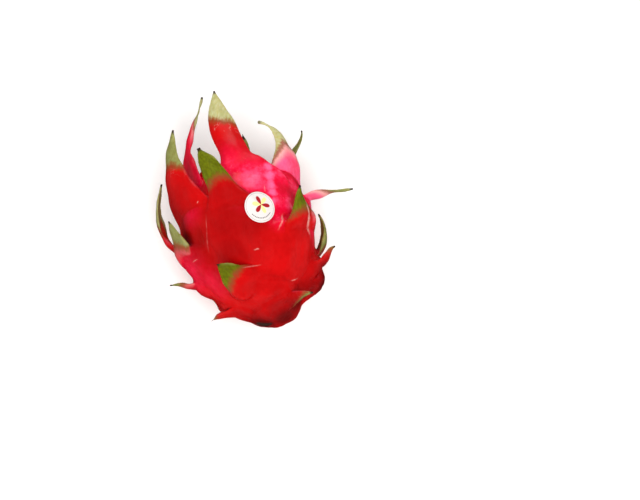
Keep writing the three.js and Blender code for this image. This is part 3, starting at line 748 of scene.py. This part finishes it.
rindFinish = {
    # the two darkest reds are painted shade
    "shadowRed": "#3e0705", "shadedRed": "#720102", "red": "#aa0203", "freshRed": "#c20305",
    "pink": "#e00438", "paleSheenPink": "#fa5a86", "rimPink": "#d2455c", "fadedPink": "#e8a09c",
    "tan": "#7d4220", "olive": "#484a05", "green": "#6b7409", "straw": "#aba45a", "ivory": "#c1bd98",
    "dryBrown": "#2c211a", "scar": "#d9a79b",
    "ior": 1.36, "specular": 0.3, "dryRoughness": 0.75,
    "scatter": 0.1, "scatterDepth": 1.5, "scatterColours": (1.0, 0.25, 0.2),
    "bumpStrength": 0.22, "bumpHeight": 0.35,
    "relief": {"pore": 0.25, "fibre": 0.15, "mottle": 0.4},  # each pattern's share of the bump
    "patterns": {  # size in millimetres, detail and roughness of each noise
        "blotch": (16, 2, 0.5),  # patches of uneven ripeness
        "mottle": (3.2, 3, 0.6),  # clouding
        "fibre": (1.1, 3, 0.6),  # fibres that run lengthwise through a scale
        "pore": (0.6, 1, 0.5),  # pores, drawn twice as coarse as they are so that they show
        "wander": (5, 1.5, 0.5),  # its middle value gives winding scars
    },
    "speckSize": 1.7,
    "sums": {  # a pattern, how much of it is taken, and what it is added to
        # the sum of mottle and blush holds painted sheen as well as pink
        "cloud": ("mottle", 0.5, "blotch"), "pinkerAndSheen": ("mottle", 0.8, "blushAndSheen"),
        "streaked": ("fibre", 5, "ripe"), "ragged": ("mottle", 4, "streaked"),
        "wavering": ("fibre", 2, "beside"), "driest": ("fibre", 2, "dry"),
    },
    "raggedMiddle": 4.5,  # mean of what the fibres and the mottle add to the green border
    "distances": {  # from a middle value, either way
        "winding": ("wander", 0.5), "below": ("border", -5), "across": ("wavering", 1),
    },
    "fullShadeAt": 0.7,  # shade mark where the painted shade is all dark red
    "pinkRange": (0.04, 0.9),  # blush mark where it starts to be pink, and is all pink
    "steps": {  # a pattern, where the step starts and ends, and what it gives there
        # the darkest step and the step in the hollows are painted shade
        "fresh": ("cloud", 0.5, 1, 0.1, 0.9), "darkestShade": ("paintedShade", 0.55, 1, 0, 0.6),
        "hollowShade": ("hollow", 0.06, 0.55, 0, 0.75), "cloudyPink": ("mottle", 0.3, 0.7, 0.75, 1.05),
        # the pale pink step is painted sheen where the pink is strongest
        "paleSheenPink": ("pinkerAndSheen", 1.1, 2.05, 0, 1), "rim": ("hollow", -0.2, -0.7, 0, 0.55),
        "dots": ("speck", 0.16, 0.04, 0, 0.3), "fading": ("ripe", -11, -1, 0, 1),
        "streak": ("fibre", 0.3, 0.7, 0.2, 0.8), "paleRim": ("hollow", -0.15, -0.5, 0, 0.35),
        "strawy": ("mottle", 0.25, 0.65, 0.75, 1), "tan": ("border", -5.5, 0, 0, 0.85),
        "green": ("border", -1, 4, 0, 1), "windingScar": ("winding", 0.012, 0.003, 0, 0.4),
        # the scratch steps draw pale scratches, some of them painted glints
        "belowGreen": ("below", 4.5, 2, 0, 1), "scratchGlintWidth": ("across", 1.3, 0.2, 0, 1),
        "scratchGlintLength": ("along", 1.15, 0.3, 0, 1), "scratchGlintWear": ("mottle", 0.3, 0.6, 0.4, 1),
        "dry": ("driest", 0.4, 2.4, 0, 1), "roughness": ("mottle", 0.2, 0.8, 0.28, 0.4),
    },
}


def rindMaterial():
    look, colour = rindFinish, coloursOf(rindFinish)
    material, tree, here = emptyMaterial("waxy_pitaya_rind")

    # the marks, the patterns, and what is worked out from them
    grain, scratchAndGlint = [addNode(tree, "Attribute", {"attribute_name": name}, output=1)
                      for name in ("grain", "scratchAndGlint")]
    read = {name: addNode(tree, "Attribute", {"attribute_name": name}, output=2)
            for name in ("ripe", "dry", "pale", "blushAndSheen", "paintedShade", "hollow")}
    read["along"], read["beside"], scratchGlintStrength = addNode(tree, "SeparateXYZ", {}, {0: scratchAndGlint}).node.outputs
    for name, (size, detail, roughness) in look["patterns"].items():
        read[name] = addNode(tree, "TexNoise", {}, {
            "Vector": grain if name == "fibre" else here,
            "Scale": 1 / (size * mm), "Detail": detail, "Roughness": roughness})
    read["speck"] = addNode(tree, "TexVoronoi", {}, {
        "Vector": here, "Scale": 1 / (look["speckSize"] * mm)})
    for name, (pattern, amount, other) in look["sums"].items():
        read[name] = addNode(tree, "Math", timesPlus, {0: read[pattern], 1: amount, 2: read[other]})
    read["border"] = addNode(tree, "Math", minus, {0: read["ragged"], 1: look["raggedMiddle"]})
    for name, (pattern, middle) in look["distances"].items():
        offset = addNode(tree, "Math", minus, {0: read[pattern], 1: middle})
        read[name] = addNode(tree, "Math", sizeOnly, {0: offset})
    share = {}
    for name, (pattern, start, end, low, high) in look["steps"].items():
        share[name] = addNode(tree, "MapRange", smoothStep, {
            "Value": read[pattern], "From Min": start, "From Max": end, "To Min": low, "To Max": high})

    # pink where the blush and painted sheen are, pale pink as painted sheen where they are strongest, paler
    # in specks, and fading towards the green ends of the pinkest scales
    # painted shade: the shade patches darken the red towards the darkest red and the green towards olive
    shadedShare = addNode(tree, "MapRange", {}, {"Value": read["paintedShade"], "From Max": look["fullShadeAt"]})
    pinkness = addNode(tree, "Math", times, {0: share["cloudyPink"], 1: read["blushAndSheen"]})
    pinkness = addNode(tree, "MapRange", {}, {
        "Value": pinkness, "From Min": look["pinkRange"][0], "From Max": look["pinkRange"][1]})
    pink = addNode(tree, "Mix", colourMix, {
        0: share["paleSheenPink"], 6: colour["pink"], 7: colour["paleSheenPink"]}, output=2)
    dots = addNode(tree, "Math", times, {0: share["dots"], 1: pinkness})
    faded = addNode(tree, "Math", clampedTimes, {0: share["fading"], 1: read["blushAndSheen"]})

    # red: cloudy, with painted shade on the shade patches and in the hollows, pink with painted sheen, and
    # a thin pink line along the rims
    red = colour["red"]
    for layer, tint in (
            (share["fresh"], colour["freshRed"]), (shadedShare, colour["shadedRed"]),
            (share["darkestShade"], colour["shadowRed"]), (share["hollowShade"], colour["shadowRed"]),
            (pinkness, pink), (share["rim"], colour["rimPink"]), (dots, colour["scar"]),
            (faded, colour["fadedPink"])):
        red = addNode(tree, "Mix", colourMix, {0: layer, 6: red, 7: tint}, output=2)

    # the green ends of the scales, streaked with straw along their fibres, and olive under the painted
    # shade
    straw = addNode(tree, "Mix", colourMix, {
        0: share["streak"], 6: colour["straw"], 7: colour["ivory"]}, output=2)
    strawy = addNode(tree, "Math", clampedTimes, {0: share["strawy"], 1: read["pale"]})
    green = colour["olive"]
    for layer, tint in ((share["streak"], colour["green"]), (shadedShare, colour["olive"]),
                        (share["paleRim"], colour["straw"]), (strawy, straw)):
        green = addNode(tree, "Mix", colourMix, {0: layer, 6: green, 7: tint}, output=2)

    # a few pale winding scars just below the green, and the pale scratches, some of them painted glints,
    # worn away in places
    scar, wornScratchGlints = share["windingScar"], share["scratchGlintWear"]
    for limit in (share["belowGreen"], read["pale"]):
        scar = addNode(tree, "Math", times, {0: scar, 1: limit})
    for limit in (scratchGlintStrength, share["scratchGlintWidth"], share["scratchGlintLength"]):
        wornScratchGlints = addNode(tree, "Math", times, {0: wornScratchGlints, 1: limit})
    lines = addNode(tree, "Math", {"operation": "MAXIMUM"}, {0: scar, 1: wornScratchGlints})

    # tan between red and green, and dry brown at the tips
    surface = red
    for layer, tint in ((share["tan"], colour["tan"]), (share["green"], green),
                        (lines, colour["scar"]), (share["dry"], colour["dryBrown"])):
        surface = addNode(tree, "Mix", colourMix, {0: layer, 6: surface, 7: tint}, output=2)

    roughness = addNode(tree, "Mix", {"data_type": "FLOAT"}, {
        0: share["dry"], 2: share["roughness"], 3: look["dryRoughness"]})
    relief = 0
    for name, amount in look["relief"].items():
        relief = addNode(tree, "Math", timesPlus, {0: read[name], 1: amount, 2: relief})
    addSurface(tree, relief, look["bumpStrength"], look["bumpHeight"] * mm, {
        "Base Color": surface, "Roughness": roughness, "IOR": look["ior"],
        "Specular IOR Level": look["specular"], "Subsurface Weight": look["scatter"],
        "Subsurface Radius": look["scatterColours"], "Subsurface Scale": look["scatterDepth"] * mm})
    return material


# the label: a round of coated paper that follows the skin

labelForm = {
    "around": 15.5, "up": 11.5,  # its middle
    "radius": 10.25, "thickness": 0.25,
    "gap": 0.15,  # between its back and the skin
    "rings": 40, "sides": 120, "smoothing": 40,
    "touching": 0.12,  # share of it that the skin lifts
    "dropFrom": 80,  # height over the axis that it is let down from
}


def labelMesh(fruit):
    # A flat disc over the skin, let down onto it along its own axis. The paper is stiff: it takes the best
    # even bend, a + bx + cy + dxx + exy + fyy, lies on the higher parts of the skin and spans the dips.
    form = labelForm
    rings, sides = form["rings"], form["sides"]
    outwards, sideways = directionsAt(form["around"])
    lengthwise = np.cross(outwards, sideways)
    radius, angle = np.meshgrid(np.linspace(0, form["radius"], rings + 1),
                                np.arange(sides) * 2 * np.pi / sides, indexing="ij")
    x, y = radius * np.cos(angle), radius * np.sin(angle)
    flat = place(form["around"], form["up"], 0.0) + outwards * form["dropFrom"]
    flat = flat + x[..., None] * sideways + y[..., None] * lengthwise
    points = flat.transpose(1, 0, 2).reshape(-1, 3)
    mesh = meshFrom("label_paper", points, gridFaces(sides, rings + 1, closed=True), {})
    fall = addObject("label_fall", mesh)
    wrap = fall.modifiers.new("Shrinkwrap", "SHRINKWRAP")
    wrap.target, wrap.wrap_method = fruit, "PROJECT"
    wrap.use_negative_direction = wrap.use_positive_direction = True
    evaluated = fall.evaluated_get(bpy.context.evaluated_depsgraph_get())
    landed = readArray(evaluated.data.vertices, "co", 3) / mm
    landed = landed.reshape(sides, rings + 1, 3).transpose(1, 0, 2)
    bpy.data.objects.remove(fall)

    lowest = (landed - flat) @ outwards + form["gap"]
    terms = np.stack([x * 0 + 1, x, y, x * x, x * y, y * y], -1)
    weight = np.sqrt(radius)
    weighted = (terms * weight[..., None]).reshape(-1, 6)
    bend = np.linalg.lstsq(weighted, (lowest * weight).ravel(), rcond=None)[0]
    even = terms @ bend
    even += np.quantile(lowest - even, 1 - form["touching"])
    height = np.maximum(even, lowest)
    print("label: the skin lies", (even - lowest).max(), "mm below it at most,",
          "and lifts it", (lowest - even).max())
    for _ in range(form["smoothing"]):
        inner = np.concatenate([height[1:2], height[:-1]])
        outer = np.concatenate([height[1:], 2 * height[-1:] - height[-2:-1]])
        mean = (np.roll(height, 1, 1) + np.roll(height, -1, 1) + inner + outer) / 4
        mean[0] = height[1].mean()
        height = np.maximum(mean, lowest)
        height[0] = height[0].max()

    back = flat + height[..., None] * outwards
    front = back + outwards * form["thickness"]
    rim = (back + front)[-1:] / 2
    points = np.concatenate([front, rim, back[::-1]])
    faces = gridFaces(sides, len(points), closed=True)
    mesh.clear_geometry()
    mesh.from_pydata(points.transpose(1, 0, 2).reshape(-1, 3) * mm, [], faces)
    printMap = mesh.uv_layers.new(name="print")
    disc = np.stack([x, y], -1) / form["radius"] / 2 + 0.5
    disc = np.concatenate([disc, disc[-1:], disc[::-1]]).transpose(1, 0, 2).reshape(-1, 2)
    corners = np.empty(len(mesh.loops), dtype=np.int64)
    mesh.loops.foreach_get("vertex_index", corners)
    printMap.data.foreach_set("uv", disc[corners].ravel())
    closeSeams(mesh)
    mesh.shade_smooth()
    return mesh


# The label is coated paper, so it is smooth with a faint sheen. Its print is a six-petalled rosette, a
# ring and a row of dashes along the lower rim.

labelPrint = {
    "paper": "#dfd9d5", "shade": "#cfc7c3", "darkRed": "#a3121c", "yellow": "#e6dc8e", "grey": "#55504f",
    # lengths as shares of the label's diameter, and places from its middle
    "flower": (0.05, 0.07), "petalLength": 0.3, "petalPower": 0.6,
    "petalWaves": 3, "flowerTurn": 0.6,  # each wave is a dark red and a yellow petal
    "inkEdge": 0.012, "petalBorder": 0.05,
    "ring": 0.455, "ringWidth": 0.006, "ringInk": 0.7,
    "dashRow": 0.36, "dashHeight": 0.03, "dashes": 42, "dashGap": 0.4, "dashesBelow": -0.2,
    "dashEdge": 0.006, "lastDashEdge": 0.01,
    "fibreSize": 0.4, "fibreDetail": 3, "fibreRoughness": 0.65, "fibreRange": (0.3, 0.7),
    "roughness": 0.42, "ior": 1.5, "bumpStrength": 0.15, "bumpHeight": 0.05,
}


def paperMaterial():
    look, colour = labelPrint, coloursOf(labelPrint)
    material, tree, here = emptyMaterial("printed_coated_paper")
    printed = addNode(tree, "UVMap", {"uv_map": "print"})
    fibre = addNode(tree, "TexNoise", {}, {
        "Vector": here, "Scale": 1 / (look["fibreSize"] * mm),
        "Detail": look["fibreDetail"], "Roughness": look["fibreRoughness"]})
    cloud = addNode(tree, "MapRange", {}, {
        "Value": fibre, "From Min": look["fibreRange"][0], "From Max": look["fibreRange"][1]})

    # distance, turn and height of a point, from the rosette's middle and from the label's
    places = []
    for right, above in (look["flower"], (0, 0)):
        offset = addNode(tree, "VectorMath", minus, {0: printed, 1: (0.5 + right, 0.5 + above, 0)})
        distance = addNode(tree, "VectorMath", {"operation": "LENGTH"}, {0: offset}, output=1)
        x, y, _ = addNode(tree, "SeparateXYZ", {}, {0: offset}).node.outputs
        turn = addNode(tree, "Math", {"operation": "ARCTAN2"}, {0: y, 1: x})
        places.append((distance, turn, y))
    (reach, turn, _), (out, around, height) = places

    # the rosette: petals as long as a power of |cos(3 turn)|, dark red where cos(3 turn) is positive
    wave = addNode(tree, "Math", timesPlus, {0: turn, 1: look["petalWaves"], 2: look["flowerTurn"]})
    wave = addNode(tree, "Math", {"operation": "COSINE"}, {0: wave})
    petal = addNode(tree, "Math", sizeOnly, {0: wave})
    petal = addNode(tree, "Math", {"operation": "POWER"}, {0: petal, 1: look["petalPower"]})
    petal = addNode(tree, "Math", times, {0: petal, 1: look["petalLength"]})
    petal = addNode(tree, "Math", minus, {0: petal, 1: reach})

    # the ring, and dashes along a circle inside it
    fromRing, fromRow = [
        addNode(tree, "Math", sizeOnly, {0: addNode(tree, "Math", minus, {0: out, 1: radius})})
        for radius in (look["ring"], look["dashRow"])]
    dash = addNode(tree, "Math", times, {0: around, 1: look["dashes"]})
    dash = addNode(tree, "Math", {"operation": "SINE"}, {0: dash})
    halfDash, below = look["dashHeight"] / 2, look["dashesBelow"]
    share = {}
    for name, value, start, end, highest in (
            ("petal", petal, 0, look["inkEdge"], 1),
            ("darkRed", wave, -look["petalBorder"], look["petalBorder"], 1),
            ("ring", fromRing, look["ringWidth"], look["ringWidth"] / 2, look["ringInk"]),
            ("dash", dash, -look["dashGap"], 0, 1),
            ("row", fromRow, halfDash + look["dashEdge"], halfDash, 1),
            ("lower", height, below + look["lastDashEdge"], below, 1)):
        share[name] = addNode(tree, "MapRange", smoothStep, {
            "Value": value, "From Min": start, "From Max": end, "To Max": highest})
    dashes = share["dash"]
    for limit in (share["row"], share["lower"]):
        dashes = addNode(tree, "Math", times, {0: dashes, 1: limit})
    lines = addNode(tree, "Math", {"operation": "MAXIMUM"}, {0: share["ring"], 1: dashes})

    ink = addNode(tree, "Mix", colourMix, {
        0: share["darkRed"], 6: colour["yellow"], 7: colour["darkRed"]}, output=2)
    surface = colour["paper"]
    for layer, tint in ((cloud, colour["shade"]), (share["petal"], ink), (lines, colour["grey"])):
        surface = addNode(tree, "Mix", colourMix, {0: layer, 6: surface, 7: tint}, output=2)
    addSurface(tree, fibre, look["bumpStrength"], look["bumpHeight"] * mm, {
        "Base Color": surface, "Roughness": look["roughness"], "IOR": look["ior"]})
    return material


fruitPiece = fusedFruit()
fruitPiece.data.materials.append(rindMaterial())
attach(fruitPiece, "root")
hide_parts("fruit")

labelPiece = addObject("round_label", labelMesh(fruitPiece))
labelPiece.data.materials.append(paperMaterial())
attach(labelPiece, "root")
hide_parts("label")
print("label made")


# floor, lights and camera, in metres

stage = {
    "floorColour": "#f4f2f0", "floorSize": 6.0, "floorRoughness": 0.8,
    "grainScale": 900, "grainDetail": 2, "grainStrength": 0.05, "grainHeight": 0.0002,
    "skyColour": "#ffffff", "skyStrength": 0.5,
}
cameraView = {
    "turn": 11.75, "rise": 78,  # degrees: it looks down steeply from the stem end's side
    "distance": 0.9, "target": (0, 0, 0.0445),
    "aside": 0.048, "above": -0.004667,  # from the line to the target, to the right and upwards
    "lens": 75.94, "sensor": 36, "clipStart": 0.01,
}
softLights = [  # only the glossy one is reflected in the fruit
    {"name": "crown_window", "at": (0.1, 0.72, 0.42), "size": 0.5, "power": 2.6, "glossy": True},
    {"name": "left_window", "at": (-0.75, -0.1, 0.3), "size": 0.4, "power": 1.4, "glossy": False},
    {"name": "ceiling", "at": (0.1, -0.45, 1.0), "size": 0.8, "power": 13.5, "glossy": False},
]


def floorPiece():  # a board painted matt, so it has a fine grain and no gloss
    half = stage["floorSize"] / 2
    mesh = bpy.data.meshes.new("floor")
    corners = [(-half, -half, 0), (half, -half, 0), (half, half, 0), (-half, half, 0)]
    mesh.from_pydata(corners, [], [(0, 1, 2, 3)])
    floor = addObject("floor", mesh)
    material, tree, here = emptyMaterial("matt_painted_board")
    grain = addNode(tree, "TexNoise", {}, {
        "Vector": here, "Scale": stage["grainScale"], "Detail": stage["grainDetail"]})
    addSurface(tree, grain, stage["grainStrength"], stage["grainHeight"], {
        "Base Color": linearColour(stage["floorColour"]), "Roughness": stage["floorRoughness"]})
    mesh.materials.append(material)
    floor.visible_glossy = False
    return floor


def aimedMatrix(position, target):
    turn = (Vector(target) - Vector(position)).to_track_quat("-Z", "Y").to_matrix().to_4x4()
    return Matrix.Translation(position) @ turn


def addLights():
    for light in softLights:
        data = bpy.data.lights.new(light["name"], "AREA")
        data.shape, data.size, data.energy = "SQUARE", light["size"], light["power"]
        lamp = addObject(light["name"], data)
        lamp.matrix_world = aimedMatrix(light["at"], cameraView["target"])
        lamp.visible_glossy = light["glossy"]
    world = bpy.data.worlds.new("studio")
    bpy.context.scene.world = world
    world.use_nodes = True
    background = world.node_tree.nodes["Background"]
    background.inputs["Color"].default_value = linearColour(stage["skyColour"])
    background.inputs["Strength"].default_value = stage["skyStrength"]
    world.cycles_visibility.glossy = False


def addCamera():
    view = cameraView
    turn, rise = view["turn"] * deg, view["rise"] * deg
    ahead = Vector((np.sin(turn) * np.cos(rise), np.cos(turn) * np.cos(rise), -np.sin(rise)))
    right = Vector((np.cos(turn), -np.sin(turn), 0))
    above = right.cross(ahead)
    at = Vector(view["target"]) - ahead * view["distance"]
    at = at + right * view["aside"] + above * view["above"]
    data = bpy.data.cameras.new("camera")
    data.lens, data.sensor_width, data.clip_start = view["lens"], view["sensor"], view["clipStart"]
    camera = addObject("camera", data)
    axes = Matrix((right, above, -ahead)).transposed().to_4x4()
    camera.matrix_world = Matrix.Translation(at) @ axes
    bpy.context.scene.camera = camera


floorPiece()
addLights()
addCamera()
bpy.context.scene.view_settings.view_transform = "Standard"
print("stage set")
